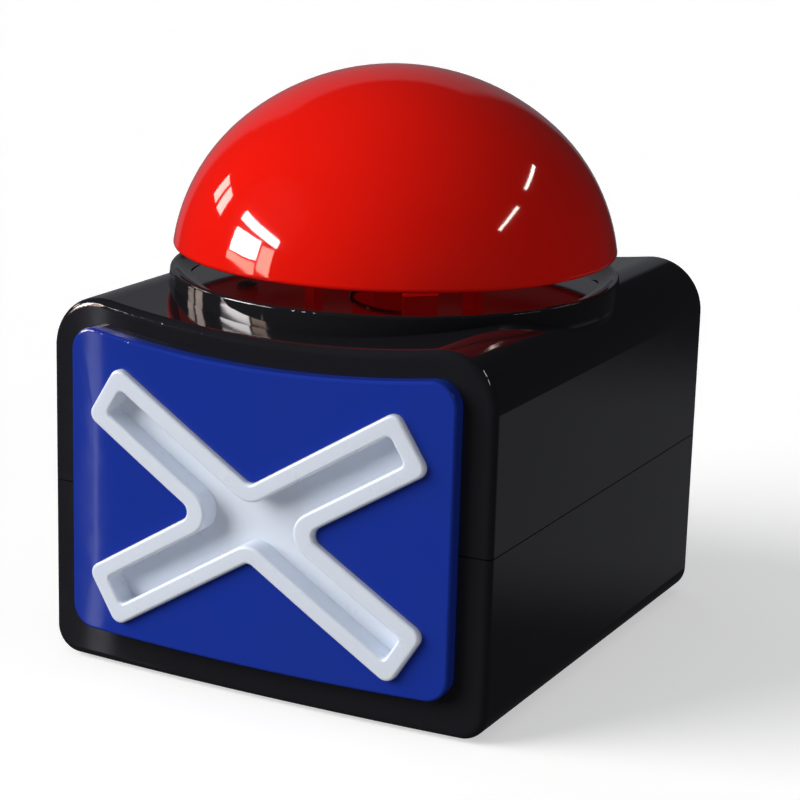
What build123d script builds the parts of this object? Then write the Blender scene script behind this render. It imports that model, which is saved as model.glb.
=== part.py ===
from build123d import *
import math
import os

# A battery quiz buzzer: a cradle-topped square case in two halves, a big red dome that is pressed,
# a blue front panel with a white light-up cross, and the switch, light, sound and power parts inside.
# Millimetres, +Z up. The object stands on its four feet at z = 0, and its box is centred on the origin.
# Pieces are drawn about the dome's own axis and moved by axis_y when they are written.

# ---- case ----
case_width = 110.0
case_depth = 118.0
case_height = 84.5       # case base to the side crests
top_dip = 3.15           # the top sags by this much between the side crests
crest_radius = 12.5      # round along the two upper side edges
base_radius = 6.0        # round along the two lower side edges
edge_round = 1.8         # round around the front and back faces
front_bulge = 1.9        # the front face bows out by this much at its middle
wall = 2.4
seam_height = 41.0       # case base to the joint between the two halves
seam_gap = 0.25          # shadow line left open around the joint
tongue_height = 2.0
fit_gap = 0.1            # each side, where one moulding locates in another

# ---- feet ----
foot_proud = 0.8
foot_pocket = 1.2
foot_radius = 5.5
foot_x = 38.0
foot_y = 50.0

# ---- case screws ----
case_screw_x = 45.0
case_screw_y = 41.0
case_screw_radius = 1.5
case_screw_length = 20.0
case_screw_seat = 25.2   # height of the screw heads' seats above the case base
column_radius = 4.2
counterbore_radius = 3.1

# ---- front panel ----
panel_width = 95.1
panel_proud = 3.16
panel_skin = 2.0
panel_rim = 2.4
panel_corner = 5.5
panel_top_margin = 5.9   # below the middle of the cradle
panel_bottom_margin = 7.9
panel_bottom_bow = 0.8
panel_edge_round = 0.7
panel_screw_x = 12.0
panel_screw_z = 26.0     # above and below the cross's centre
panel_screw_radius = 1.3
panel_boss_radius = 3.0
panel_screw_length = 4.6
panel_screw_lift = 0.12      # the flat screw head stands this far off the bowed wall

# ---- cross ----
cross_height = 41.3      # case base to the cross's centre
cross_length = 90.6
cross_bar = 14.6
cross_angle = 32.0
cross_corner = 2.5
cross_notch = 2.2
cross_proud = 1.5        # beyond the panel
cross_recess = 5.5       # rim's top down to the floor
cross_rim = 3.9
cross_floor = 1.5
cross_flange = 1.6
cross_gap = 0.15
cross_rim_round = 0.65
cross_pocket_corner = 1.2
cross_case_gap = 0.4

# ---- cross lighting ----
light_board_back = 10.9    # front face of the board, behind the middle of the case's front
light_board_thick = 1.2
light_board_length = 79.0
light_board_width = 10.5
light_post_at = 34.5     # along each arm from the centre
light_post_radius = 2.2
light_screw_radius = 0.9
light_screw_length = 4.0
led_pitch = 11.5
led_radius = 1.5
led_height = 5.0
led_collar_radius = 1.85
led_collar_height = 1.0
led_arm_steps = 2            # lamps on each arm, beside the one in the middle

# ---- collar ----
collar_radius = 52.5
collar_rim_height = 86.7     # case base to the rim's top
collar_rim_inner = 50.9
collar_rim_round = 0.6
collar_deck_height = 84.2    # case base to the deck inside the collar
collar_deck_radius = 46.0
collar_deck_thick = 2.2
collar_bulge = 0.25
spigot_radius = 49.0
spigot_wall = 2.0
spigot_depth = 8.5
barb_proud = 1.6
barb_angle = 20.0

# ---- dome ----
dome_radius = 52.0           # at its widest, which lies just below its lower edge
dome_semi_height = 47.8      # from there to the top
shoulder_radius = 45.3       # the dome's lower curve; the crown's wider curve runs into it
dome_centre_height = 85.9    # case base to the height where the dome would be widest
dome_edge_height = 91.5      # case base to the dome's lower edge
dome_wall = 2.5
dome_edge_round = 0.9
button_travel = 4.0
dome_post_at = 40.0
dome_post_radius = 3.5
dome_screw_radius = 1.3
dome_screw_length = 8.0
corner_turns = (45, 135, 225, 315)
side_turns = (0, 90, 180, 270)

# ---- dome carrier ----
carrier_lift = 0.5           # carrier's underside above the dome's lower edge
carrier_thick = 2.2
leg_radius_in = 18.4
leg_thick = 2.2
leg_width = 8.0
leg_gap = 0.3
leg_flex_gap = 1.2
hook_reach = 1.2
hook_room = 1.0
hook_height = 2.6
hook_play = 0.2
hook_tip = 0.8
stem_radius = 5.0
nose_radius = 2.0
nose_length = 4.0
stem_switch_gap = 1.5        # the nose stands out of the bush by this much

# ---- spring guide ----
guide_boss_height = 4.0      # pillars under the deck
guide_flange_radius = 30.0
guide_flange_thick = 2.0
guide_screw_at = 24.0
guide_screw_radius = 1.3
guide_screw_length = 5.4
cup_radius = 13.0
cup_wall = 2.0
cup_depth = 22.8             # deck's underside to the cup's floor
cup_floor = 2.2
bush_radius = 8.0
bush_length = 4.0
running_gap = 0.08

# ---- return spring ----
spring_radius = 10.0
spring_wire = 1.2
spring_turns = 6

# ---- press switch ----
switch_length = 19.8
switch_width = 6.4
switch_height = 10.2
switch_x = -9.0
switch_top_drop = 6.2        # stem tip down to the switch's top
switch_screw_pitch = 9.5
switch_screw_radius = 1.0
switch_screw_length = 8.0
switch_screw_lift = 2.9      # above the switch's underside
switch_corner = 0.5
switch_ear_length = 2.6
switch_ear_thick = 1.0
switch_ear_height = 1.2      # above the lever's pin
terminal_pitch = 7.5
terminal_thick = 0.5
terminal_width = 3.2
terminal_length = 4.5
lever_pivot_x = -17.5
lever_pivot_lift = 0.7
lever_thick = 0.4
lever_width = 4.0
lever_end_x = 2.4
lever_rest_angle = 15.9
lever_pin_radius = 0.6
lever_pin_gap = 0.06
lever_turn = 12.5
actuator_x = -12.0
actuator_radius = 1.0
actuator_rise = 1.65
actuator_length = 3.8
actuator_travel = 1.0
bracket_thick = 2.0

# ---- batteries ----
cell_radius = 7.1
cell_length = 50.5
nub_radius = 2.75
nub_length = 1.2
cell_count = 3
cell_gap = 0.4
bay_length = 57.0
bay_side_gap = 0.2
bay_wall = 1.6
bay_y = -14.0
contact_thick = 0.4
contact_width = 10.0
contact_gap = 0.05
contact_spring_radius = 3.2
contact_spring_wire = 0.7
contact_spring_turns = 3
cell_lift = 0.3

# ---- battery door ----
door_thick = 1.6
door_inset = 0.2
door_overlap = 2.5
door_gap = 0.2
ledge_thick = 1.8
tab_x = 18.0
tab_width = 7.0
tab_thick = 1.0
tab_reach = 2.2
tab_gap = 0.15               # between a tab and the case's floor
lug_width = 14.0
lug_length = 8.2
door_screw_radius = 1.3
door_screw_length = 5.0
door_screw_play = 0.55
door_screw_recess = 0.9
door_screw_recess_radius = 2.9
door_hinge_round = 0.5       # round lower front edge that the door tilts on
door_step = 1.6              # root of each tab
grip_count = 5
grip_pitch = 2.0
grip_length = 14.0
grip_depth = 0.4

# ---- control board ----
board_length = 60.0
board_width = 38.0
board_thick = 1.6
board_y = -14.0
board_standoff = 5.0
board_screw_x = 26.0
board_screw_y = 15.0
board_screw_radius = 1.3
board_screw_length = 5.0
standoff_radius = 3.2

# ---- parts on the control board, from the board's middle ----
chip_x = -12.0
chip_y = -6.25
chip_length = 10.0
chip_width = 7.5
chip_height = 2.4
chip_pins = 7
chip_pin_pitch = 1.4
chip_pin_width = 0.5
chip_pin_reach = 1.35
chip_pin_height = 0.9
can_sizes = [(14.0, -9.0, 3.0, 9.0), (21.0, -7.0, 2.5, 7.0)]    # x, y, radius, height of each capacitor
transistor_x = 6.25
transistor_y = -10.75
transistor_length = 4.5
transistor_width = 2.5
transistor_height = 5.0
resistor_count = 4
resistor_pitch = 4.0
resistor_first_x = -2.0
resistor_y = -4.4
resistor_length = 2.0
resistor_width = 1.2
resistor_height = 0.6

# ---- speaker ----
speaker_radius = 18.0
speaker_height = 21.5        # case base to its axis
speaker_depth = 12.0
speaker_flange = 1.0
speaker_flange_width = 2.6
magnet_radius = 9.0
magnet_depth = 5.0
grille_hole_radius = 1.0
grille_pitch = 4.2
grille_rings = 3
speaker_screw_at = 20.6
speaker_screw_radius = 1.3
speaker_screw_length = 3.0
speaker_boss_radius = 2.5
speaker_clip_radius = 3.4
speaker_clip_thick = 0.6
speaker_sheet = 0.8          # thickness of the speaker's pressed basket
speaker_window_width = 7.0
cone_thick = 0.4
cone_low = 0.4               # cone's edge above the wall
cone_deep = 2.8              # cone's neck above the wall
cone_neck_radius = 4.0
cone_cap_depth = 1.4

# ---- power switch ----
power_x = 33.0
power_y = 26.0
power_length = 13.0
power_width = 6.6
power_body_height = 5.5
power_plate_length = 21.0
power_plate_thick = 0.5
power_screw_pitch = 17.0
power_screw_radius = 1.0
power_screw_length = 3.3
power_boss_radius = 2.2
power_boss_height = 2.4
power_travel = 3.0
knob_length = 3.4
knob_width = 3.0
knob_gap = 0.25
knob_inset = 0.3
knob_catch = 1.4             # length of the slide inside the switch's can
power_slot_height = 1.6
power_dish_room = 2.5
power_dish_side = 2.0
power_dish_depth = 1.0

# ---- wires ----
wire_radius = 0.65

thread_gap = 0.03            # between a screw's thread and the hole that it cuts

# ---- worked-out places ----
base_z = foot_proud
crest_z = base_z + case_height
valley_z = crest_z - top_dip
seam_z = base_z + seam_height
half_width = case_width / 2
half_depth = case_depth / 2
floor_z = base_z + wall
front_radius = (half_width ** 2 + front_bulge ** 2) / (2 * front_bulge)
front_centre_y = front_radius - half_depth - front_bulge
axis_y = (front_bulge + panel_proud + cross_proud) / 2
light_board_y = light_board_back - half_depth - front_bulge

crest_x = half_width - crest_radius
crest_centre_z = crest_z - crest_radius
cradle_radius = (crest_x ** 2 + (crest_radius - top_dip) ** 2 - crest_radius ** 2) / (2 * top_dip)
cradle_centre_z = valley_z + cradle_radius

cross_z = base_z + cross_height
panel_top_z = valley_z - panel_top_margin
panel_bottom_z = base_z + panel_bottom_margin
collar_rim_z = base_z + collar_rim_height
deck_z = base_z + collar_deck_height
deck_under_z = deck_z - collar_deck_thick
hole_radius = spigot_radius + 2 * fit_gap
dome_centre_z = base_z + dome_centre_height
shoulder_reach = dome_radius - shoulder_radius
crown_radius = (shoulder_reach ** 2 + dome_semi_height ** 2 - shoulder_radius ** 2) / (
    2 * (dome_semi_height - shoulder_radius))
dome_edge_z = base_z + dome_edge_height
carrier_z = dome_edge_z + carrier_lift
carrier_top_z = carrier_z + carrier_thick
cup_floor_z = deck_under_z - cup_depth
bush_end_z = cup_floor_z - cup_floor - bush_length
stem_tip_z = bush_end_z - stem_switch_gap
switch_top_z = stem_tip_z - switch_top_drop
lever_pivot_z = switch_top_z + lever_pivot_lift
door_z = base_z + door_inset
door_top_z = door_z + door_thick
cell_z = door_top_z + cell_lift + cell_radius
bay_top_z = cell_z + cell_radius + 0.5
cell_pitch = 2 * cell_radius + cell_gap
bay_width = cell_count * cell_pitch + 2 * bay_side_gap
bay_roof_z = bay_top_z + bay_wall
board_z = bay_roof_z + board_standoff
speaker_z = base_z + speaker_height
back_wall_y = half_depth - wall
door_front_y = bay_y - bay_width / 2 - door_overlap
door_back_y = bay_y + bay_width / 2 + door_overlap
door_screw_y = door_back_y + lug_length / 2


# ---------------------------------------------------------------- shared shapes

def post(x, y, z0, z1, radius):
    """A plain round pillar from z0 up to z1."""
    return Pos(x, y, (z0 + z1) / 2) * Cylinder(radius, z1 - z0)


def block(x0, x1, y0, y1, z0, z1):
    """A plain box between two corners."""
    middle = Pos((x0 + x1) / 2, (y0 + y1) / 2, (z0 + z1) / 2)
    return middle * Box(x1 - x0, y1 - y0, z1 - z0)


def group(solids):
    """Several separate solids of one node."""
    return Compound(children=[solid for shape in solids for solid in shape.solids()])


def screw(length, radius, head_radius, head_height):
    """A pan-head screw. Its head's seat is at z = 0 and its tip points along +Z."""
    head = Pos(0, 0, -head_height / 2) * Cylinder(head_radius, head_height)
    head = fillet(head.edges().group_by(Axis.Z)[0], head_height * 0.45)
    shank = post(0, 0, 0, length - radius, radius)
    tip = Pos(0, 0, length - radius / 2) * Cone(radius, radius * 0.3, radius)
    slot = Box(head_radius * 1.15, head_radius * 0.3, head_height)
    cross = slot + Rot(0, 0, 90) * slot
    return head + shank + tip - Pos(0, 0, -head_height) * cross


def case_profile(inset):
    """The case seen from the front, shrunk by inset: round crests joined by the cradle's arc."""
    side = half_width - inset
    low = base_z + inset
    crest = crest_radius - inset
    base = max(base_radius - inset, 1.0)
    reach = cradle_radius + crest_radius
    slope = math.degrees(math.atan2(cradle_centre_z - crest_centre_z, crest_x))
    cradle = cradle_radius + inset
    top_x = crest_x - crest * crest_x / reach
    top_z = crest_centre_z + crest * (cradle_centre_z - crest_centre_z) / reach
    outline = Curve() + [
        Line((-side + base, low), (side - base, low)),
        CenterArc((side - base, low + base), base, 270, 90),
        Line((side, low + base), (side, crest_centre_z)),
        CenterArc((crest_x, crest_centre_z), crest, 0, 180 - slope),
        ThreePointArc((top_x, top_z), (0, cradle_centre_z - cradle), (-top_x, top_z)),
        CenterArc((-crest_x, crest_centre_z), crest, slope, 180 - slope),
        Line((-side, crest_centre_z), (-side, low + base)),
        CenterArc((-side + base, low + base), base, 180, 90),
    ]
    return make_face(outline)


def front_drum(offset):
    """A drum whose front is the case's bowed front face, moved outwards by offset."""
    return Pos(0, front_centre_y, crest_z / 2) * Cylinder(front_radius + offset, 3 * case_height)


def case_block(inset):
    """The case's outside as one lump, shrunk by inset on every side."""
    long_block = extrude(Plane.XZ * case_profile(inset), amount=case_depth, both=True)
    behind = block(-case_width, case_width, half_depth - inset, 2 * case_depth,
                   -case_height, 2 * case_height)
    return (long_block & front_drum(-inset)) - behind


def layer(face, inner, outer):
    """A front outline made solid between two offsets from the case's front face."""
    reach = half_depth + front_bulge + panel_proud + cross_proud + 10
    tall = extrude(Plane.XZ * face, amount=reach)
    return (tall & front_drum(outer)) - front_drum(inner)


def cross_face(grow, corner, notch):
    """The cross's outline from the front, grown by grow on every side."""
    bar = Rectangle(cross_length + 2 * grow, cross_bar + 2 * grow)
    face = Rot(0, 0, cross_angle) * bar + Rot(0, 0, -cross_angle) * bar
    face = fillet([p for p in face.vertices() if math.hypot(p.X, p.Y) > cross_length / 3], corner)
    face = fillet([p for p in face.vertices() if math.hypot(p.X, p.Y) < cross_length / 3], notch)
    return Pos(0, cross_z) * face


def on_arms(distance):
    """The four points at a distance from the cross's centre, as (x, z)."""
    turns = [cross_angle, 180 - cross_angle, 180 + cross_angle, -cross_angle]
    turns = [math.radians(turn) for turn in turns]
    return [(distance * math.cos(turn), cross_z + distance * math.sin(turn)) for turn in turns]


def four_corners(x, y):
    return [(-x, -y), (x, -y), (-x, y), (x, y)]


def dome_radius_at(z, shrink):
    """The dome's radius at a height on its shoulder, outside, or inside with its wall as shrink."""
    return shoulder_reach + math.sqrt((shoulder_radius - shrink) ** 2 - (z - dome_centre_z) ** 2)


# ---------------------------------------------------------------- case

def make_case_shell():
    outside = case_block(0)
    rim = [e for e in outside.edges() if abs(e.center().Y) > half_depth - 1]
    outside = fillet(rim, edge_round)
    shell = outside - case_block(wall)
    opening = cross_face(cross_case_gap, cross_corner + cross_case_gap, cross_notch)
    shell -= layer(opening, -2 * wall, panel_proud)
    for x, z in [(x, cross_z + z) for x, z in four_corners(panel_screw_x, panel_screw_z)]:
        hole = Cylinder(panel_boss_radius + 2 * fit_gap, 6 * wall)
        shell -= Pos(x, -half_depth, z) * Rot(90, 0, 0) * hole
    return shell


def make_upper_case(shell):
    above_seam = block(-case_width, case_width, -case_depth, case_depth,
                       seam_z + seam_gap, 2 * case_height)
    upper = shell & above_seam
    rebate = case_block(wall / 2) & block(
        -case_width, case_width, -case_depth, case_depth, 0, seam_z + tongue_height)
    upper -= rebate
    inside = case_block(wall / 2)
    for x, y in four_corners(case_screw_x, case_screw_y):
        upper += post(x, y, seam_z, crest_z, column_radius) & inside
        upper -= post(x, y, 0, seam_z + case_screw_length / 2, case_screw_radius + thread_gap)
    upper -= post(0, 0, seam_z + case_height / 4, 2 * case_height, hole_radius)
    return upper


def make_lower_case(shell):
    lower = shell & block(-case_width, case_width, -case_depth, case_depth, 0, seam_z)
    tongue = (case_block(wall / 2 + fit_gap) - case_block(wall)) & block(
        -case_width, case_width, -case_depth, case_depth, seam_z - wall, seam_z + tongue_height)
    opening = cross_face(cross_case_gap, cross_corner + cross_case_gap, cross_notch)
    lower += tongue - layer(opening, -2 * wall, panel_proud)
    for x, y in four_corners(case_screw_x, case_screw_y):
        lower += post(x, y, base_z + wall / 2, seam_z, column_radius)
        lower -= post(x, y, 0, base_z + case_screw_seat, counterbore_radius)
        lower -= post(x, y, 0, case_height, case_screw_radius + 2 * fit_gap)
    for x, y in four_corners(foot_x, foot_y):
        lower -= post(x, y, 0, base_z + foot_pocket, foot_radius + fit_gap)
    lower = add_battery_bay(lower)
    lower = add_speaker_seat(lower)
    lower = add_power_switch_seat(lower)
    return lower


def add_battery_bay(lower):
    x = bay_length / 2
    front = bay_y - bay_width / 2
    back = bay_y + bay_width / 2
    outer = block(-x - bay_wall, x + bay_wall, front - bay_wall, back + bay_wall,
                  base_z + wall / 2, bay_roof_z)
    ledge = block(-x - 2 * door_overlap, x + 2 * door_overlap, front - 2 * door_overlap,
                  back + 2 * door_overlap, door_top_z, door_top_z + ledge_thick)
    lower += outer + ledge
    lower += post(0, door_screw_y, base_z + wall / 2, door_top_z + door_screw_length + 2 * wall, 4.0)
    for bx, by in four_corners(board_screw_x, board_screw_y):
        lower += post(bx, by + board_y, bay_roof_z - bay_wall / 2, board_z, standoff_radius)
        lower -= post(bx, by + board_y, bay_roof_z, board_z + 1, board_screw_radius + thread_gap)
    lower -= block(-x, x, front, back, 0, bay_top_z)
    lower -= make_door_plate(door_gap, 0, door_top_z + fit_gap)
    lower -= post(0, door_screw_y, 0, door_top_z + door_screw_length + 1.5,
                  door_screw_radius + door_screw_play)
    for side in (-1, 1):
        reach = tab_reach + 1.0
        lower -= block(side * tab_x - tab_width / 2 - 0.5, side * tab_x + tab_width / 2 + 0.5,
                       door_front_y - reach, front + 0.5, floor_z, floor_z + 3 * tab_thick)
        lower -= block(side * tab_x - tab_width / 2 - 0.5, side * tab_x + tab_width / 2 + 0.5,
                       door_front_y - door_gap, front + 0.5, 0, floor_z + 3 * tab_thick)
    return lower


def add_speaker_seat(lower):
    for ring in range(grille_rings + 1):
        count = max(6 * ring, 1)
        for step in range(count):
            turn = 2 * math.pi * step / count
            x = ring * grille_pitch * math.cos(turn)
            z = speaker_z + ring * grille_pitch * math.sin(turn)
            lower -= Pos(x, half_depth, z) * Rot(90, 0, 0) * Cylinder(grille_hole_radius, 6 * wall)
    for x, z in speaker_screw_points():
        lower += Pos(x, back_wall_y, z) * Rot(90, 0, 0) * Cylinder(speaker_boss_radius, 2 * speaker_flange)
        hole_end = speaker_screw_seat() + speaker_screw_length + fit_gap
        lower -= Pos(x, hole_end / 2, z) * Rot(90, 0, 0) * Cylinder(
            speaker_screw_radius + thread_gap, hole_end)
    return lower


def add_power_switch_seat(lower):
    for side in (-1, 1):
        x = power_x + side * power_screw_pitch / 2
        lower += post(x, power_y, floor_z - wall / 2, floor_z + power_boss_height, power_boss_radius)
        lower -= post(x, power_y, floor_z - wall / 4, floor_z + 2 * power_boss_height,
                      power_screw_radius + thread_gap)
    reach = power_travel / 2 + knob_length / 2
    lower -= block(power_x - reach - power_dish_room, power_x + reach + power_dish_room,
                   power_y - knob_width / 2 - power_dish_side, power_y + knob_width / 2 + power_dish_side,
                   0, base_z + power_dish_depth)
    lower -= block(power_x - reach - knob_gap, power_x + reach + knob_gap,
                   power_y - knob_width / 2 - knob_gap, power_y + knob_width / 2 + knob_gap, 0, floor_z + 1)
    return lower


def make_feet():
    disc = Pos(0, 0, (foot_proud + foot_pocket) / 2) * Cylinder(foot_radius, foot_proud + foot_pocket)
    disc = fillet(disc.edges().group_by(Axis.Z)[0], 0.4)
    return group([Pos(x, y, 0) * disc for x, y in four_corners(foot_x, foot_y)])


def make_case_screws():
    one = screw(case_screw_length, case_screw_radius, counterbore_radius - 0.3, 2.2)
    seat = base_z + case_screw_seat
    return group([Pos(x, y, seat) * one for x, y in four_corners(case_screw_x, case_screw_y)])


# ---------------------------------------------------------------- front panel and cross

def panel_face(shrink):
    """The panel's outline: its top follows the cradle, and its bottom bows down a little."""
    side = panel_width / 2 - shrink
    top_radius = cradle_centre_z - panel_top_z + shrink
    top_mid = cradle_centre_z - top_radius
    top_side = cradle_centre_z - math.sqrt(top_radius ** 2 - side ** 2)
    low_mid = panel_bottom_z + shrink
    low_side = low_mid + panel_bottom_bow
    outline = Curve() + [
        ThreePointArc((-side, low_side), (0, low_mid), (side, low_side)),
        Line((side, low_side), (side, top_side)),
        ThreePointArc((side, top_side), (0, top_mid), (-side, top_side)),
        Line((-side, top_side), (-side, low_side)),
    ]
    face = make_face(outline)
    return fillet(face.vertices(), panel_corner - shrink)


def make_front_panel():
    panel = layer(panel_face(0), 0, panel_proud)
    front = [e for e in panel.edges() if is_front_edge(e, panel_proud)]
    panel = fillet(front, panel_edge_round)
    panel -= layer(panel_face(panel_rim), -wall, panel_proud - panel_skin)
    for x, z in four_corners(panel_screw_x, panel_screw_z):
        boss = Pos(x, -half_depth - panel_proud, cross_z + z) * Rot(90, 0, 0) * Cylinder(
            panel_boss_radius, 6 * wall)
        boss = (boss & front_drum(panel_proud - panel_skin / 2)) - front_drum(-wall + fit_gap)
        pilot_end = front_y(x, -wall) - panel_screw_length - fit_gap
        pilot = Pos(x, pilot_end / 2, cross_z + z) * Rot(90, 0, 0) * Cylinder(
            panel_screw_radius + thread_gap, -pilot_end)
        panel += boss
        panel -= pilot
    panel -= layer(cross_face(cross_gap, cross_corner + cross_gap, cross_notch), -2 * wall, 2 * panel_proud)
    return panel


def is_front_edge(edge, offset):
    """True for an edge that lies on the bowed face at this offset."""
    point = edge.position_at(0.37)
    reach = math.hypot(point.X, point.Y - front_centre_y)
    end = edge.position_at(0.81)
    end_reach = math.hypot(end.X, end.Y - front_centre_y)
    return max(abs(reach - front_radius - offset), abs(end_reach - front_radius - offset)) < 0.01


def make_cross_lens():
    top = panel_proud + cross_proud
    floor_top = top - cross_recess
    floor_back = floor_top - cross_floor
    body = layer(cross_face(0, cross_corner, cross_notch), floor_back, top)
    pocket_face = cross_face(-cross_rim, cross_pocket_corner, cross_notch + cross_rim * 0.8)
    body -= layer(pocket_face, floor_top, 2 * top)
    rim_edges = [e for e in body.edges() if is_front_edge(e, top)]
    body = fillet(rim_edges, cross_rim_round)
    flange_top = panel_proud - panel_skin - fit_gap / 2
    body += layer(cross_face(cross_flange, cross_corner + cross_flange, cross_notch), 0, flange_top) - layer(
        cross_face(-cross_rim / 2, cross_corner / 2, cross_notch), -wall, top)
    for x, z in on_arms(light_post_at):
        pillar = Pos(x, light_board_y - 5, z) * Rot(90, 0, 0) * Cylinder(light_post_radius, 10)
        pillar = pillar & front_drum(floor_top - cross_floor / 2)
        pilot_end = light_board_y - light_screw_length
        pilot = Pos(x, (pilot_end + light_board_y) / 2, z) * Rot(90, 0, 0) * Cylinder(
            light_screw_radius + thread_gap, light_board_y - pilot_end)
        body += pillar
        body -= pilot
    return body


def make_panel_screws():
    one = Rot(90, 0, 0) * screw(panel_screw_length, panel_screw_radius, 4.2, 1.6)
    places = four_corners(panel_screw_x, panel_screw_z)
    return group([Pos(x, front_y(x, -wall) + panel_screw_lift, cross_z + z) * one for x, z in places])


def front_y(x, offset):
    """Where the bowed front face, moved outwards by offset, lies at this x."""
    return front_centre_y - math.sqrt((front_radius + offset) ** 2 - x ** 2)


def make_light_board():
    bar = Rectangle(light_board_length, light_board_width)
    face = Pos(0, cross_z) * (Rot(0, 0, cross_angle) * bar + Rot(0, 0, -cross_angle) * bar)
    board = Pos(0, light_board_y, 0) * extrude(Plane.XZ * face, amount=-light_board_thick)
    for x, z in on_arms(light_post_at):
        board -= Pos(x, light_board_y, z) * Rot(90, 0, 0) * Cylinder(light_screw_radius + fit_gap, 8)
    return board


def led_points():
    points = [(0, cross_z)]
    for step in range(led_arm_steps):
        points += on_arms((step + 1) * led_pitch)
    return points


def make_leds():
    lamp = post(0, 0, 0, led_height - led_radius, led_radius)
    lamp += Pos(0, 0, led_height - led_radius) * Sphere(led_radius)
    lamp += post(0, 0, 0, led_collar_height, led_collar_radius)
    return group([Pos(x, light_board_y, z) * Rot(90, 0, 0) * lamp for x, z in led_points()])


def make_light_screws():
    one = Rot(90, 0, 0) * screw(light_screw_length, light_screw_radius, 1.9, 1.3)
    seat_y = light_board_y + light_board_thick
    return group([Pos(x, seat_y, z) * one for x, z in on_arms(light_post_at)])


# ---------------------------------------------------------------- collar and dome

def make_collar():
    """The black ring under the dome, with its saddle-shaped foot, its deck and its snap barbs."""
    low = crest_centre_z
    spigot_end = deck_under_z - spigot_depth
    rim_out = collar_radius - collar_bulge
    outline = Curve() + [
        Line((cup_radius + 0.5, deck_under_z), (cup_radius + 0.5, deck_z)),
        Line((cup_radius + 0.5, deck_z), (collar_deck_radius, deck_z)),
        ThreePointArc((collar_deck_radius, deck_z),
                      ((collar_deck_radius + collar_rim_inner) / 2 + 0.5, deck_z + 0.85),
                      (collar_rim_inner, collar_rim_z - 0.25)),
        Line((collar_rim_inner, collar_rim_z - 0.25), (collar_rim_inner + 0.35, collar_rim_z)),
        Line((collar_rim_inner + 0.35, collar_rim_z), (rim_out - collar_rim_round, collar_rim_z)),
        CenterArc((rim_out - collar_rim_round, collar_rim_z - collar_rim_round), collar_rim_round, 90, -90),
        ThreePointArc((rim_out, collar_rim_z - collar_rim_round),
                      (collar_radius - collar_bulge / 4, collar_rim_z - 2.4),
                      (collar_radius, deck_under_z - 1)),
        Line((collar_radius, deck_under_z - 1), (collar_radius, low)),
        Line((collar_radius, low), (spigot_radius - 0.5, low)),
        Line((spigot_radius - 0.5, low), (spigot_radius - 0.5, deck_under_z)),
        Line((spigot_radius - 0.5, deck_under_z), (cup_radius + 0.5, deck_under_z)),
    ]
    ring = revolve(Plane.XZ * make_face(outline), Axis.Z)
    ring -= case_block(0)
    lift = post(0, 0, deck_under_z, deck_z, spigot_radius)
    lift -= post(0, 0, 0, 2 * case_height, cup_radius + 0.5)
    spigot = post(0, 0, spigot_end, deck_z, spigot_radius) - post(
        0, 0, 0, deck_under_z, spigot_radius - spigot_wall)
    spigot -= post(0, 0, 0, 2 * case_height, spigot_radius - spigot_wall)
    collar = ring + lift + spigot
    collar += make_barbs(spigot_end)
    for turn in side_turns:
        at = Rot(0, 0, turn) * Pos(guide_screw_at, 0, 0)
        collar += at * post(0, 0, deck_under_z - guide_boss_height, deck_z - 0.5, standoff_radius)
        collar -= at * post(0, 0, 0, deck_under_z + collar_deck_thick / 2, guide_screw_radius + thread_gap)
    for turn in corner_turns:
        slot = block(leg_radius_in - leg_flex_gap, leg_radius_in + leg_thick + leg_gap,
                     -leg_width / 2 - leg_gap, leg_width / 2 + leg_gap, 0, 2 * case_height)
        collar -= Rot(0, 0, turn) * slot
    return collar


def make_barbs(low):
    """Snap barbs on the collar's spigot, which catch under the case's top."""
    ring = post(0, 0, low, valley_z + top_dip / 2, spigot_radius + barb_proud)
    ring -= post(0, 0, 0, 2 * case_height, spigot_radius - spigot_wall / 2)
    wedge = extrude(make_wedge_face(barb_angle, collar_radius), amount=case_height)
    sectors = [Rot(0, 0, turn) * wedge for turn in corner_turns]
    barbs = ring & (sectors[0] + sectors[1:])
    return barbs - (case_block(0) - case_block(wall + fit_gap / 2))


def make_wedge_face(angle, reach):
    half = math.radians(angle / 2)
    far = reach / math.cos(half)
    return make_face(Polyline((0, 0), (far * math.cos(half), -far * math.sin(half)),
                              (far * math.cos(half), far * math.sin(half)), (0, 0)))


def dome_solid(shrink, low):
    """The dome's shape, solid, from a height up: a shoulder arc that runs into a wider crown arc."""
    join = math.degrees(math.atan2(crown_radius - dome_semi_height, shoulder_reach))
    start = math.degrees(math.asin((low - dome_centre_z) / (shoulder_radius - shrink)))
    shoulder = CenterArc((shoulder_reach, dome_centre_z), shoulder_radius - shrink, start, join - start)
    crown_centre = dome_centre_z + dome_semi_height - crown_radius
    crown = CenterArc((0, crown_centre), crown_radius - shrink, join, 90 - join)
    middle = Polyline(crown @ 1, (0, low), shoulder @ 0)
    face = make_face(Curve() + [shoulder, crown, middle])
    return revolve(Plane.XZ * face, Axis.Z)


def make_dome():
    outside = dome_solid(0, dome_edge_z)
    outside = fillet(outside.edges().group_by(Axis.Z)[0], dome_edge_round)
    dome = outside - dome_solid(dome_wall, dome_edge_z - 1)
    for turn in side_turns:
        at = Rot(0, 0, turn) * Pos(dome_post_at, 0, 0)
        pillar = at * post(0, 0, carrier_top_z, dome_centre_z + dome_semi_height, dome_post_radius)
        dome += pillar & dome_solid(dome_wall / 2, dome_edge_z)
        dome -= at * post(0, 0, 0, carrier_top_z + dome_screw_length, dome_screw_radius + thread_gap)
    return dome


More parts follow.
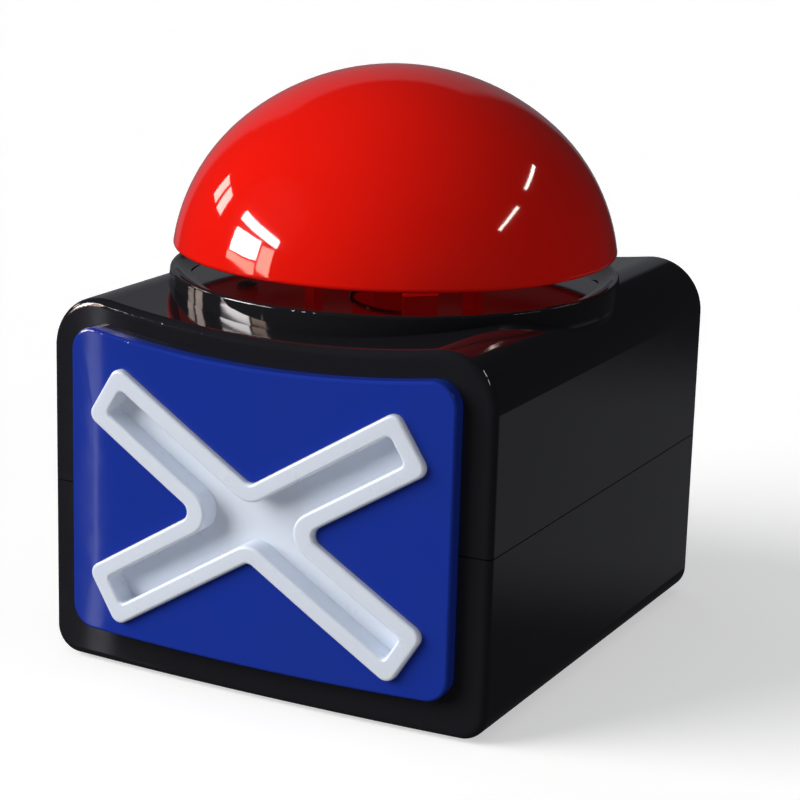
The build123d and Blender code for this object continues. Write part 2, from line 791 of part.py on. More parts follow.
def make_carrier():
    """The plate in the dome's mouth, with the stem, the hooked legs and the screw holes."""
    radius = dome_radius_at(carrier_top_z, dome_wall) - fit_gap
    carrier = post(0, 0, carrier_z, carrier_top_z, radius)
    stem_end = stem_tip_z + nose_length
    carrier += post(0, 0, stem_end, carrier_z, stem_radius)
    carrier += post(0, 0, stem_tip_z + nose_radius, stem_end, nose_radius)
    carrier += Pos(0, 0, stem_tip_z + nose_radius) * Sphere(nose_radius)
    hook_top = deck_under_z - hook_play
    near = leg_radius_in
    far = leg_radius_in + leg_thick
    side = Polyline((near, carrier_z), (far, carrier_z), (far, hook_top), (far + hook_reach, hook_top),
                    (far + hook_reach, hook_top - hook_tip), (far, hook_top - hook_height),
                    (near, hook_top - hook_height), (near, carrier_z))
    leg = extrude(Plane.XZ * make_face(side), amount=leg_width / 2, both=True)
    for turn in corner_turns:
        carrier += Rot(0, 0, turn) * leg
    for turn in side_turns:
        carrier -= Rot(0, 0, turn) * Pos(dome_post_at, 0, 0) * post(
            0, 0, 0, case_height * 2, dome_screw_radius + fit_gap)
    return carrier


def make_dome_screws():
    one = screw(dome_screw_length, dome_screw_radius, 2.6, 1.7)
    return group([Rot(0, 0, turn) * Pos(dome_post_at, 0, carrier_z) * one for turn in side_turns])


def coil(radius, wire, turns, low, high):
    """A round-wire spring about the Z axis, resting between two heights."""
    height = high - low - wire
    path = Helix(height / turns, height, radius, center=(0, 0, low + wire / 2))
    return sweep(Plane(path @ 0, z_dir=path % 0) * Circle(wire / 2), path=path, is_frenet=True)


def make_return_spring():
    """A plain coil between the cup's floor and the carrier."""
    return coil(spring_radius, spring_wire, spring_turns, cup_floor_z, carrier_z)


# ---------------------------------------------------------------- spring guide and press switch

def make_guide():
    """The spring's cup, hung under the deck, with the stem's bush and the switch's bracket."""
    flange_top = deck_under_z - guide_boss_height
    flange_low = flange_top - guide_flange_thick
    guide = post(0, 0, flange_low, flange_top, guide_flange_radius)
    guide += post(0, 0, cup_floor_z - cup_floor, flange_top, cup_radius + cup_wall)
    guide += post(0, 0, bush_end_z, cup_floor_z - cup_floor, bush_radius)
    guide -= post(0, 0, cup_floor_z, 2 * case_height, cup_radius)
    guide -= post(0, 0, 0, 2 * case_height, stem_radius + running_gap)
    for turn in side_turns:
        guide -= Rot(0, 0, turn) * Pos(guide_screw_at, 0, 0) * post(
            0, 0, 0, 2 * case_height, guide_screw_radius + fit_gap)
        hook_slot = block(cup_radius + cup_wall + 0.5, leg_radius_in + leg_thick + hook_reach + hook_room,
                          -leg_width / 2 - hook_room, leg_width / 2 + hook_room,
                          flange_low - 1, flange_top + 1)
        guide -= Rot(0, 0, turn + 45) * hook_slot
    left = switch_x - switch_length / 2 - 1
    y0 = switch_width / 2 + fit_gap
    low = switch_top_z - switch_height
    bracket = block(left, -stem_radius - 1.0, y0, y0 + bracket_thick, low, cup_floor_z - cup_floor / 2)
    bracket += block(left, switch_x + switch_length / 2, y0, y0 + bracket_thick, low, switch_top_z)
    gusset = block(-cup_radius, -cup_radius + bracket_thick, y0, cup_radius / 2, bush_end_z,
                   cup_floor_z - cup_floor / 2)
    guide += bracket + gusset
    for x in switch_screw_x():
        guide -= Pos(x, 0, switch_screw_z()) * Rot(90, 0, 0) * Cylinder(
            switch_screw_radius + thread_gap, 6 * switch_width)
    return guide


def switch_screw_x():
    return [switch_x - switch_screw_pitch / 2, switch_x + switch_screw_pitch / 2]


def switch_screw_z():
    return switch_top_z - switch_height + switch_screw_lift


def make_guide_screws():
    one = screw(guide_screw_length, guide_screw_radius, 2.6, 1.6)
    seat = deck_under_z - guide_boss_height - guide_flange_thick
    return group([Rot(0, 0, turn) * Pos(guide_screw_at, 0, seat) * one for turn in side_turns])


def make_switch_body():
    x0 = switch_x - switch_length / 2
    x1 = switch_x + switch_length / 2
    y = switch_width / 2
    body = block(x0, x1, -y, y, switch_top_z - switch_height, switch_top_z)
    body = fillet(body.edges().filter_by(Axis.Y), switch_corner)
    for side in (-1, 1):
        ear_y = side * (y - switch_ear_thick / 2)
        body += block(lever_pivot_x - switch_ear_length / 2, lever_pivot_x + switch_ear_length / 2,
                      ear_y - switch_ear_thick / 2, ear_y + switch_ear_thick / 2,
                      switch_top_z - switch_corner, lever_pivot_z + switch_ear_height)
    body -= Pos(lever_pivot_x, 0, lever_pivot_z) * Rot(90, 0, 0) * Cylinder(
        lever_pin_radius + lever_pin_gap, 2 * switch_width)
    body -= post(actuator_x, 0, switch_top_z - actuator_length, switch_top_z + 1,
                 actuator_radius + running_gap)
    for x in switch_screw_x():
        body -= Pos(x, 0, switch_screw_z()) * Rot(90, 0, 0) * Cylinder(
            switch_screw_radius + fit_gap, 2 * switch_width)
    return body


def make_switch_lever():
    """The spring-steel lever, with its pin, at the angle it rests at."""
    length = (lever_end_x - lever_pivot_x) / math.cos(math.radians(lever_rest_angle))
    strip = block(0, length, -lever_width / 2, lever_width / 2, -lever_thick / 2, lever_thick / 2)
    pin = Rot(90, 0, 0) * Cylinder(lever_pin_radius, switch_width - 0.2)
    return Pos(lever_pivot_x, 0, lever_pivot_z) * Rot(0, -lever_rest_angle, 0) * (strip + pin)


def make_actuator():
    top = switch_top_z + actuator_rise
    low = switch_top_z - actuator_length + actuator_travel + 0.2
    pin = post(actuator_x, 0, low, top, actuator_radius)
    return fillet(pin.edges().group_by(Axis.Z)[-1], 0.35)


def make_switch_terminals():
    low = switch_top_z - switch_height
    blade = block(-terminal_thick / 2, terminal_thick / 2, -terminal_width / 2, terminal_width / 2,
                  low - terminal_length, low)
    return group([Pos(switch_x + step * terminal_pitch, 0, 0) * blade for step in (-1, 0, 1)])


def make_switch_screws():
    one = Rot(-90, 0, 0) * screw(switch_screw_length, switch_screw_radius, 1.9, 1.3)
    return group([Pos(x, -switch_width / 2, switch_screw_z()) * one for x in switch_screw_x()])


# ---------------------------------------------------------------- batteries

def cell_ends(index):
    """Which way a cell points: the middle one is turned round, so the three join in series."""
    return 1 if index % 2 == 0 else -1


def cell_y(index):
    return bay_y + (index - (cell_count - 1) / 2) * cell_pitch


def make_cell(index):
    can_length = cell_length - nub_length
    can = Rot(0, 90, 0) * Cylinder(cell_radius, can_length)
    can = fillet(can.edges(), 0.5)
    nub = Pos(can_length / 2 + nub_length / 2, 0, 0) * Rot(0, 90, 0) * Cylinder(nub_radius, nub_length)
    cell = can + nub
    tip = bay_length / 2 - contact_thick - contact_gap
    placed = Pos(tip - nub_length - can_length / 2, 0, 0) * cell
    return Pos(0, cell_y(index), cell_z) * Rot(0, 0, 0 if cell_ends(index) > 0 else 180) * placed


def make_contact_springs():
    """One coil at each cell's flat end."""
    length = bay_length - cell_length - 2 * contact_thick - 2 * contact_gap
    one = Rot(0, 90, 0) * coil(contact_spring_radius, contact_spring_wire, contact_spring_turns, 0, length)
    one = Pos(-bay_length / 2 + contact_thick, 0, 0) * one
    turned = [Rot(0, 0, 0 if cell_ends(index) > 0 else 180) * one for index in range(cell_count)]
    return group([Pos(0, cell_y(index), cell_z) * turned[index] for index in range(cell_count)])


def make_contact_plates():
    plates = []
    for index in range(cell_count):
        for side in (-1, 1):
            x0 = side * bay_length / 2
            x1 = side * (bay_length / 2 - contact_thick)
            plates.append(block(min(x0, x1), max(x0, x1), cell_y(index) - contact_width / 2,
                                cell_y(index) + contact_width / 2, cell_z - 5, cell_z + 5))
    return group(plates)


def make_door_plate(grow, low, high):
    """The door's outline with its screw lug, grown by grow, between two heights."""
    x = bay_length / 2 + door_overlap + grow
    plate = block(-x, x, door_front_y - grow, door_back_y + grow, low, high)
    lug = block(-lug_width / 2 - grow, lug_width / 2 + grow, door_back_y - 1,
                door_back_y + lug_length + grow, low, high)
    door = plate + lug
    return fillet(door.edges().filter_by(Axis.Z), 1.0)


def make_battery_door():
    door = make_door_plate(0, door_z, door_top_z)
    front = door.edges().filter_by(Axis.X).group_by(Axis.Y)[0]
    door = fillet(front.group_by(Axis.Z)[0], door_hinge_round)
    lift = floor_z + tab_gap
    for side in (-1, 1):
        x0 = side * tab_x - tab_width / 2
        x1 = side * tab_x + tab_width / 2
        door += block(x0, x1, door_front_y, door_front_y + door_step,
                      door_z + door_hinge_round, lift + tab_thick)
        door += block(x0, x1, door_front_y - tab_reach, door_front_y + door_step, lift, lift + tab_thick)
    door -= post(0, door_screw_y, 0, 2 * floor_z, door_screw_radius + fit_gap)
    door -= post(0, door_screw_y, 0, door_z + door_screw_recess, door_screw_recess_radius)
    for step in range(grip_count):
        y = door_back_y - (step + 2) * grip_pitch
        door -= block(-grip_length / 2, grip_length / 2, y - grip_pitch / 4, y + grip_pitch / 4,
                      0, door_z + grip_depth)
    return door


def make_door_screw():
    seat = door_z + door_screw_recess
    return Pos(0, door_screw_y, seat) * screw(door_screw_length, door_screw_radius, 2.5, 0.85)


# ---------------------------------------------------------------- control board

def make_board():
    board = block(-board_length / 2, board_length / 2, board_y - board_width / 2, board_y + board_width / 2,
                  board_z, board_z + board_thick)
    for x, y in four_corners(board_screw_x, board_screw_y):
        board -= post(x, y + board_y, 0, case_height, board_screw_radius + fit_gap)
    return board


def make_board_screws():
    one = Rot(180, 0, 0) * screw(board_screw_length, board_screw_radius, 2.5, 1.6)
    top = board_z + board_thick
    return group([Pos(x, y + board_y, top) * one for x, y in four_corners(board_screw_x, board_screw_y)])


def board_block(x, y, length, width, height):
    """A block on the control board, about a point measured from the board's middle."""
    top = board_z + board_thick
    y += board_y
    return block(x - length / 2, x + length / 2, y - width / 2, y + width / 2, top, top + height)


def make_sound_chip():
    chip = board_block(chip_x, chip_y, chip_length, chip_width, chip_height)
    for step in range(chip_pins):
        x = chip_x + (step - (chip_pins - 1) / 2) * chip_pin_pitch
        pin_width = chip_width + 2 * chip_pin_reach
        chip += board_block(x, chip_y, chip_pin_width, pin_width, chip_pin_height)
    return chip


def make_board_parts():
    """Two electrolytic capacitors, a transistor and small chip parts."""
    top = board_z + board_thick
    parts = []
    for x, y, radius, height in can_sizes:
        can = post(x, y + board_y, top, top + height, radius)
        parts.append(fillet(can.edges().group_by(Axis.Z)[-1], 0.5))
    parts.append(board_block(transistor_x, transistor_y, transistor_length, transistor_width,
                             transistor_height))
    for step in range(resistor_count):
        x = resistor_first_x + resistor_length / 2 + step * resistor_pitch
        parts.append(board_block(x, resistor_y, resistor_length, resistor_width, resistor_height))
    return group(parts)


# ---------------------------------------------------------------- speaker

def about_speaker(shape):
    """Stands a shape drawn along +Z on the back wall's inner face, pointing into the case."""
    return Pos(0, back_wall_y, speaker_z) * Rot(90, 0, 0) * shape


def speaker_screw_seat():
    return back_wall_y - speaker_flange - speaker_clip_thick


def speaker_screw_points():
    turns = [math.radians(turn) for turn in corner_turns]
    reach = speaker_screw_at
    return [(reach * math.cos(turn), speaker_z + reach * math.sin(turn)) for turn in turns]


def make_speaker_frame():
    inner = speaker_radius - speaker_flange_width
    cup = magnet_radius + 1.0
    depth = speaker_depth - magnet_depth
    outline = Polyline((inner, 0), (speaker_radius, 0), (speaker_radius, speaker_flange),
                       (inner + speaker_sheet, speaker_flange), (cup, depth), (0, depth),
                       (0, depth - speaker_sheet), (cup - 0.75 * speaker_sheet, depth - speaker_sheet),
                       (inner, speaker_flange), (inner, 0))
    frame = revolve(Plane.XZ * make_face(outline), Axis.Z)
    for turn in corner_turns:
        frame -= Rot(0, 0, turn) * block(cup + 0.6, inner + 0.5, -speaker_window_width / 2,
                                         speaker_window_width / 2, speaker_flange + 1.2,
                                         depth - 2 * speaker_sheet)
    return about_speaker(frame)


def make_speaker_cone():
    rim = speaker_radius - speaker_flange_width - 0.2
    neck = cone_neck_radius
    coil_top = cone_deep + 4 * cone_thick
    outline = Polyline((0, cone_cap_depth), (neck, cone_deep), (rim - 2.5, cone_low), (rim, cone_low),
                       (rim, cone_low + cone_thick), (rim - 2.4, cone_low + cone_thick),
                       (neck + 0.2, cone_deep + cone_thick), (neck + 0.2, coil_top), (neck - 0.2, coil_top),
                       (neck - 0.2, cone_deep + cone_thick), (0, cone_cap_depth + cone_thick),
                       (0, cone_cap_depth))
    return about_speaker(revolve(Plane.XZ * make_face(outline), Axis.Z))


def make_speaker_magnet():
    magnet = post(0, 0, speaker_depth - magnet_depth, speaker_depth, magnet_radius)
    return about_speaker(fillet(magnet.edges().group_by(Axis.Z)[-1], 0.6))


def make_speaker_screws():
    """Four screws, each with a washer whose edge holds the speaker's flange."""
    one = screw(speaker_screw_length, speaker_screw_radius, 2.5, 1.6)
    one += post(0, 0, 0, speaker_clip_thick, speaker_clip_radius)
    one = Rot(-90, 0, 0) * one
    return group([Pos(x, speaker_screw_seat(), z) * one for x, z in speaker_screw_points()])


# ---------------------------------------------------------------- power switch

def make_power_body():
    """The slide switch's can and mounting plate, on two pillars above the floor."""
    low = floor_z + power_boss_height
    y0 = power_y - power_width / 2
    y1 = power_y + power_width / 2
    body = block(power_x - power_plate_length / 2, power_x + power_plate_length / 2, y0, y1,
                 low, low + power_plate_thick)
    body += block(power_x - power_length / 2, power_x + power_length / 2, y0, y1,
                  low, low + power_body_height)
    reach = power_travel / 2 + knob_length / 2 + knob_gap
    body -= block(power_x - reach, power_x + reach, power_y - knob_width / 2 - knob_gap,
                  power_y + knob_width / 2 + knob_gap, 0, low + power_slot_height)
    for side in (-1, 1):
        body -= post(power_x + side * power_screw_pitch / 2, power_y, 0, case_height,
                     power_screw_radius + fit_gap)
    return body


def make_power_knob():
    """The slide, at the off end of its travel."""
    x = power_x - power_travel / 2
    knob = block(x - knob_length / 2, x + knob_length / 2, power_y - knob_width / 2,
                 power_y + knob_width / 2, base_z + knob_inset, floor_z + power_boss_height + knob_catch)
    return fillet(knob.edges().filter_by(Axis.Z), 0.3)


def make_power_screws():
    one = Rot(180, 0, 0) * screw(power_screw_length, power_screw_radius, 1.9, 1.2)
    top = floor_z + power_boss_height + power_plate_thick
    return group([Pos(power_x + side * power_screw_pitch / 2, power_y, top) * one for side in (-1, 1)])


# ---------------------------------------------------------------- wires

def wire(points):
    """One insulated wire: straight runs joined by arcs."""
    radii = []
    for before, here, after in zip(points, points[1:], points[2:]):
        a = Vector(*here) - Vector(*before)
        b = Vector(*after) - Vector(*here)
        turn = math.radians(a.get_angle(b))
        radii.append(0.45 * min(a.length, b.length) / math.tan(turn / 2))
    path = FilletPolyline(*points, radius=radii)
    return sweep(Plane(path @ 0, z_dir=path % 0) * Circle(wire_radius), path=path)


def wire_pair(points, apart):
    """Two wires side by side, apart in X, Y and Z by the given step."""
    second = [tuple(p + s for p, s in zip(point, apart)) for point in points]
    return group([wire(points), wire(second)])


def make_battery_wires():
    """From the battery contacts' corner up over the bay's roof to the board's edge."""
    x = bay_length / 2 + bay_wall + wire_radius + 0.2
    top = board_z + board_thick + wire_radius
    y = board_y + 6
    return wire_pair([(x, y, cell_z), (x + 2.2, y, cell_z + 6), (x + 2.6, y, board_z - 4),
                      (x + 1.8, y, top + 1), (x - 3, y, top + 1.2), (x - 7, y, top)], (0, 2.0, 0))


def make_speaker_wires():
    """From the speaker's frame forward to the board's back edge."""
    y0 = back_wall_y - speaker_depth - 0.1
    top = board_z + board_thick + wire_radius
    y1 = board_y + board_width / 2 - 3
    return wire_pair([(10.5, y0, speaker_z + 4), (10.5, y0 - 9, speaker_z + 5), (11, y0 - 20, top + 4),
                      (11, y1 + 9, top + 4), (11, y1, top)], (2.0, 0, 0))


def make_light_wires():
    """From the back of the light board down to the control board's front edge."""
    y0 = light_board_y + light_board_thick + wire_radius
    top = board_z + board_thick + wire_radius
    y1 = board_y - board_width / 2 + 3
    return wire_pair([(-1, y0, cross_z - 1), (-1, y0 + 0.8, cross_z - 5), (-1, y0 + 5, cross_z - 10),
                      (-1, y1 - 4, top + 2), (-1, y1, top)], (2.0, 0, 0))


def make_switch_wires():
    """From the press switch's terminals down to the control board."""
    low = switch_top_z - switch_height - terminal_length
    top = board_z + board_thick
    x = switch_x - terminal_pitch - terminal_thick / 2 - wire_radius
    first = wire([(x, 0, low + 3), (x, 0, low + 0.5), (x - 2.5, 1.5, top + 2), (x - 2.5, 1.5, top)])
    x2 = switch_x + terminal_pitch + terminal_thick / 2 + wire_radius
    second = wire([(x2, 0, low + 3), (x2, 0, low + 0.5), (x2 + 2.5, 1.5, top + 2), (x2 + 2.5, 1.5, top)])
    return group([first, second])


def make_power_wires():
    """From the slide switch's back up to the control board's side."""
    z0 = floor_z + power_boss_height + power_body_height
    top = board_z + board_thick + wire_radius
    y1 = board_y + board_width / 2 - 4
    return wire_pair([(power_x + 2, power_y, z0), (power_x + 2, power_y, z0 + 6),
                      (power_x, power_y - 8, top + 3), (power_x - 7, y1 + 9, top + 3.5),
                      (power_x - 14, y1 + 2, top)], (-2.2, 0, 0))


# ---------------------------------------------------------------- write the pieces

def main():
    shell = make_case_shell()
    pieces = {
        "upper_case": make_upper_case(shell),
        "lower_case": make_lower_case(shell),
        "rubber_feet": make_feet(),
        "case_screws": make_case_screws(),
        "front_panel": make_front_panel(),
        "panel_screws": make_panel_screws(),
        "cross_lens": make_cross_lens(),
        "light_board": make_light_board(),
        "light_leds": make_leds(),
        "light_board_screws": make_light_screws(),
        "collar_ring": make_collar(),
        "dome_cap": make_dome(),
        "dome_carrier": make_carrier(),
        "dome_screws": make_dome_screws(),
        "return_spring": make_return_spring(),
        "spring_guide": make_guide(),
        "guide_screws": make_guide_screws(),
        "switch_body": make_switch_body(),
        "switch_lever": make_switch_lever(),
        "switch_actuator": make_actuator(),
        "switch_terminals": make_switch_terminals(),
        "switch_screws": make_switch_screws(),
        "contact_springs": make_contact_springs(),
        "contact_plates": make_contact_plates(),
        "battery_door": make_battery_door(),
        "door_screw": make_door_screw(),
        "control_board": make_board(),
        "board_screws": make_board_screws(),
        "sound_chip": make_sound_chip(),
        "board_parts": make_board_parts(),
        "speaker_frame": make_speaker_frame(),
        "speaker_cone": make_speaker_cone(),
        "speaker_magnet": make_speaker_magnet(),
        "speaker_screws": make_speaker_screws(),
        "power_switch": make_power_body(),
        "power_knob": make_power_knob(),
        "power_screws": make_power_screws(),
        "battery_wires": make_battery_wires(),
        "speaker_wires": make_speaker_wires(),
        "light_wires": make_light_wires(),
        "switch_wires": make_switch_wires(),
        "power_wires": make_power_wires(),
    }
    for index in range(cell_count):
        pieces[f"battery_cell_{index + 1}"] = make_cell(index)
    os.makedirs("parts", exist_ok=True)
    for name, shape in pieces.items():
        solids = [Pos(0, axis_y, 0) * solid for solid in shape.solids()]
        piece = solids[0] if len(solids) == 1 else Compound(children=solids)
        export_step(piece, f"parts/{name}.step")


main()
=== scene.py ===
import bmesh
import bpy
import math
from mathutils import Matrix, Vector


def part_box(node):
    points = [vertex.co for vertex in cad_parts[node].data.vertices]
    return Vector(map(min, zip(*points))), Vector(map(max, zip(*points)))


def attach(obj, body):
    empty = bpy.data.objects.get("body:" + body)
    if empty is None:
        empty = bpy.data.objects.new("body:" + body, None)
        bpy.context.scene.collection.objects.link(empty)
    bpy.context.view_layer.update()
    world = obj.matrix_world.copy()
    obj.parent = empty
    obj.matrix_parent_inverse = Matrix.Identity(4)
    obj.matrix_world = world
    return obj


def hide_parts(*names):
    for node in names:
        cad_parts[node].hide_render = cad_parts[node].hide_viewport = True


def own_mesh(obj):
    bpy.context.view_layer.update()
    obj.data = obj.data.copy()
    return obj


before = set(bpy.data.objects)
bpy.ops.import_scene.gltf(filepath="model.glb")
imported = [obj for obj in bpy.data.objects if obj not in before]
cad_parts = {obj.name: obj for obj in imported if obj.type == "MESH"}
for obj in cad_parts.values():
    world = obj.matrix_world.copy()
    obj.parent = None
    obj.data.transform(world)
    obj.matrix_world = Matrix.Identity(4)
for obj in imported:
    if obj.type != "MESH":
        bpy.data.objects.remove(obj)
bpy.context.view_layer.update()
scene = bpy.context.scene


# --- Camera ---------------------------------------------------------------------------------------
# It looks at the buzzer's front right corner from a little above, close enough to fill the frame.
# A long lens keeps the case's edges nearly parallel, and the camera leans slightly to one side.

camera_place = Vector((0.25490, -0.48794, 0.20254))
camera_yaw, camera_pitch, camera_lean = 0.4749, 0.2600, 0.0286
forward = Vector((
    -math.sin(camera_yaw) * math.cos(camera_pitch),
    math.cos(camera_yaw) * math.cos(camera_pitch),
    -math.sin(camera_pitch),
))
level_right = forward.cross(Vector((0, 0, 1))).normalized()
level_up = level_right.cross(forward)
camera_right = math.cos(camera_lean) * level_right + math.sin(camera_lean) * level_up
camera_up = math.cos(camera_lean) * level_up - math.sin(camera_lean) * level_right
camera = bpy.data.objects.new("camera", bpy.data.cameras.new("camera"))
camera.data.lens = 108.78
camera.data.clip_start = 0.01
camera.matrix_world = Matrix.Translation(camera_place) @ Matrix(
    (camera_right, camera_up, -forward)).transposed().to_4x4()
scene.collection.objects.link(camera)
scene.camera = camera


# --- Studio floor, backdrop and light -------------------------------------------------------------
# A matt white paper floor runs out to a round white backdrop. Soft daylight shades the plastic,
# while what it mirrors is a dim room with a paler wall, window panes and ceiling tubes. The paper
# casts no shadow and adds no bounced light or reflection.

def linear(hex_colour, strength=1.0):
    """An sRGB hex colour as linear red, green, blue and alpha."""
    parts = [int(hex_colour[i:i + 2], 16) / 255 for i in (1, 3, 5)]
    parts = [p / 12.92 if p <= 0.04045 else ((p + 0.055) / 1.055) ** 2.4 for p in parts]
    return (*[p * strength for p in parts], 1.0)


def add(tree, kind, settings=None, links=None):
    """Adds a node, sets its values and joins its inputs."""
    node = tree.nodes.new(kind)
    for key, value in (settings or {}).items():
        if isinstance(key, int) or key in node.inputs:
            node.inputs[key].default_value = value
        else:
            setattr(node, key, value)
    for key, source in (links or {}).items():
        tree.links.new(source, node.inputs[key])
    return node


def new_material(name):
    """An empty node material and its tree."""
    material = bpy.data.materials.new(name)
    material.use_nodes = True
    material.node_tree.nodes.clear()
    return material, material.node_tree


def mesh_object(name, shape, material, smooth_angle=None):
    """Turns a bmesh into a named object with one material."""
    mesh = bpy.data.meshes.new(name)
    shape.to_mesh(mesh)
    shape.free()
    if smooth_angle is None:
        mesh.shade_flat()
    else:
        mesh.shade_smooth()
        mesh.set_sharp_from_angle(angle=math.radians(smooth_angle))
    mesh.materials.append(material)
    made = bpy.data.objects.new(name, mesh)
    scene.collection.objects.link(made)
    return made


# Matt white paper, lit a little from below so that it stays pale and its shadows stay soft.
paper, tree = new_material("white_background_paper")
grain = add(tree, "ShaderNodeTexNoise", {"Scale": 40.0, "Detail": 4.0},
            {"Vector": add(tree, "ShaderNodeTexCoord").outputs["Object"]})
tint = add(tree, "ShaderNodeMapRange", {"To Min": 0.70, "To Max": 0.73},
           {"Value": grain.outputs["Fac"]})
matt = add(tree, "ShaderNodeBsdfDiffuse", {}, {"Color": tint.outputs["Result"]})
underlight = add(tree, "ShaderNodeEmission", {"Color": linear("#FFFFFF"), "Strength": 0.50})
lit_paper = add(tree, "ShaderNodeAddShader", {}, {0: matt.outputs[0], 1: underlight.outputs[0]})
add(tree, "ShaderNodeOutputMaterial", {}, {"Surface": lit_paper.outputs[0]})

floor_radius = 6.0
shape = bmesh.new()
bmesh.ops.create_circle(shape, cap_ends=True, segments=96, radius=floor_radius)
floor = mesh_object("floor", shape, paper)
floor.visible_glossy = False
floor.visible_diffuse = False
floor.visible_shadow = False

backdrop_white, tree = new_material("lit_backdrop")
glow = add(tree, "ShaderNodeEmission", {"Color": linear("#F4F4F4"), "Strength": 1.0})
add(tree, "ShaderNodeOutputMaterial", {}, {"Surface": glow.outputs[0]})
backdrop_radius, backdrop_height, below_floor = 5.9, 12.0, 0.1
shape = bmesh.new()
bmesh.ops.create_cone(shape, segments=96, radius1=backdrop_radius, radius2=backdrop_radius,
                      depth=backdrop_height)
bmesh.ops.translate(shape, verts=shape.verts, vec=(0, 0, backdrop_height / 2 - below_floor))
backdrop = mesh_object("backdrop", shape, backdrop_white)
for unseen_by in ("visible_diffuse", "visible_glossy", "visible_transmission", "visible_shadow",
                  "visible_volume_scatter"):
    setattr(backdrop, unseen_by, False)

world = bpy.data.worlds.new("dim_room")
scene.world = world
world.use_nodes = True
tree = world.node_tree
tree.nodes.clear()
outlook = add(tree, "ShaderNodeTexCoord").outputs["Generated"]
direction = add(tree, "ShaderNodeSeparateXYZ", {}, {0: outlook})
from_front = add(tree, "ShaderNodeMath", {"operation": "MULTIPLY", 1: -1.0},
                 {0: direction.outputs["Y"]})
azimuth = add(tree, "ShaderNodeMath", {"operation": "ARCTAN2"},
              {0: direction.outputs["X"], 1: from_front.outputs[0]})
elevation = add(tree, "ShaderNodeMath", {"operation": "ARCSINE"}, {0: direction.outputs["Z"]})
dim_level = 0.025
brightness = add(tree, "ShaderNodeValue")
brightness.outputs[0].default_value = dim_level
# Azimuth, half width and edge, then elevation, half height and edge, in degrees; last, brightness.
room_patches = (
    (-145, 21, 6, 13, 20, 5, 0.15),          # a white wall behind, on the left
    (150, 18, 10, -16.6, 1.6, 2.2, 0.10),    # the table's far edge behind, on the right
    (-40.65, 0.25, 0.35, -18, 9, 6, 1.5),    # a door's frame by the front left
)
for across, half_width, side_edge, up, half_height, top_edge, gain in room_patches:
    reach = []
    for angle, middle, half, edge in ((azimuth, across, half_width, side_edge),
                                      (elevation, up, half_height, top_edge)):
        off = add(tree, "ShaderNodeMath", {"operation": "SUBTRACT", 1: math.radians(middle)},
                  {0: angle.outputs[0]})
        away = add(tree, "ShaderNodeMath", {"operation": "ABSOLUTE"}, {0: off.outputs[0]})
        reach.append(add(tree, "ShaderNodeMapRange",
                         {"interpolation_type": "SMOOTHSTEP", "From Min": math.radians(half + edge),
                          "From Max": math.radians(half)}, {"Value": away.outputs[0]}))
    patch = add(tree, "ShaderNodeMath", {"operation": "MULTIPLY"},
                {0: reach[0].outputs["Result"], 1: reach[1].outputs["Result"]})
    brightness = add(tree, "ShaderNodeMath", {"operation": "MULTIPLY_ADD", 1: gain},
                     {0: patch.outputs[0], 2: brightness.outputs[0]})
room = add(tree, "ShaderNodeBackground", {"Color": linear("#F2F4FF")},
           {"Strength": brightness.outputs[0]})
add(tree, "ShaderNodeOutputWorld", {}, {"Surface": room.outputs[0]})


def outwards(azimuth, elevation):
    """A direction from the dome: azimuth 0 is the front, and 90 is the right-hand side."""
    a, e = math.radians(azimuth), math.radians(elevation)
    return Vector((math.sin(a) * math.cos(e), -math.cos(a) * math.cos(e), math.sin(e)))


def hang_light(name, light, place, outward, spin=0.0):
    """Puts a light in the studio, turned to face the buzzer."""
    lamp = bpy.data.objects.new(name, light)
    lamp.matrix_world = Matrix.Translation(place) @ outward.to_track_quat(
        "Z", "Y").to_matrix().to_4x4() @ Matrix.Rotation(math.radians(spin), 4, "Z")
    scene.collection.objects.link(lamp)
    return lamp


# These light the plastic and don't show in its shine.
sun_distance = 3
soft_suns = (        # name, azimuth, elevation, spread, strength and colour
    ("window_daylight", -52, 24, 46, 3.9, "#FFFDFB"),
    ("overhead_daylight", -30, 82, 80, 0.5, "#F6FAFF"),
    ("table_bounce", 58, -15, 90, 0.85, "#FFF9F2"),
)
for name, across, up, spread, strength, colour in soft_suns:
    sun = bpy.data.lights.new(name, "SUN")
    sun.energy = strength
    sun.angle = math.radians(spread)
    sun.color = linear(colour)[:3]
    lamp = hang_light(name, sun, sun_distance * outwards(across, up), outwards(across, up))
    lamp.visible_glossy = False

# These show in the shine only. Azimuth, elevation, width, height and spin are in degrees.
window_panes = (     # name, azimuth, elevation, width, height, brightness, colour, spin
    ("window_top", -51, 20.6, 29, 4.2, 30.0, "#FFF4F8", -8),
    ("window_left", -56.5, 12, 18.5, 9.5, 36.0, "#FFF8FA", 0),
    ("window_right", -41.5, 9.5, 8, 11.0, 9.0, "#FFD9C4", -3),
    ("window_sill", -57, 4.6, 20, 3.2, 8.0, "#FFD2BC", -3),
    ("side_window_near", -85.5, 18.5, 6.5, 8.5, 10.0, "#FFE6DC", 0),
    ("side_window_far", -94.5, 18.5, 6.0, 8.0, 8.0, "#FFE6DC", 0),
    ("tube_far", 134.5, 38.2, 18, 1.2, 22.0, "#FFF8EE", -3),
    ("tube_near", 98, 32.8, 18, 1.2, 22.0, "#FFF8EE", 19),
)
dome_middle = Vector((0, 0, 0.1))
light_distance = 1.6
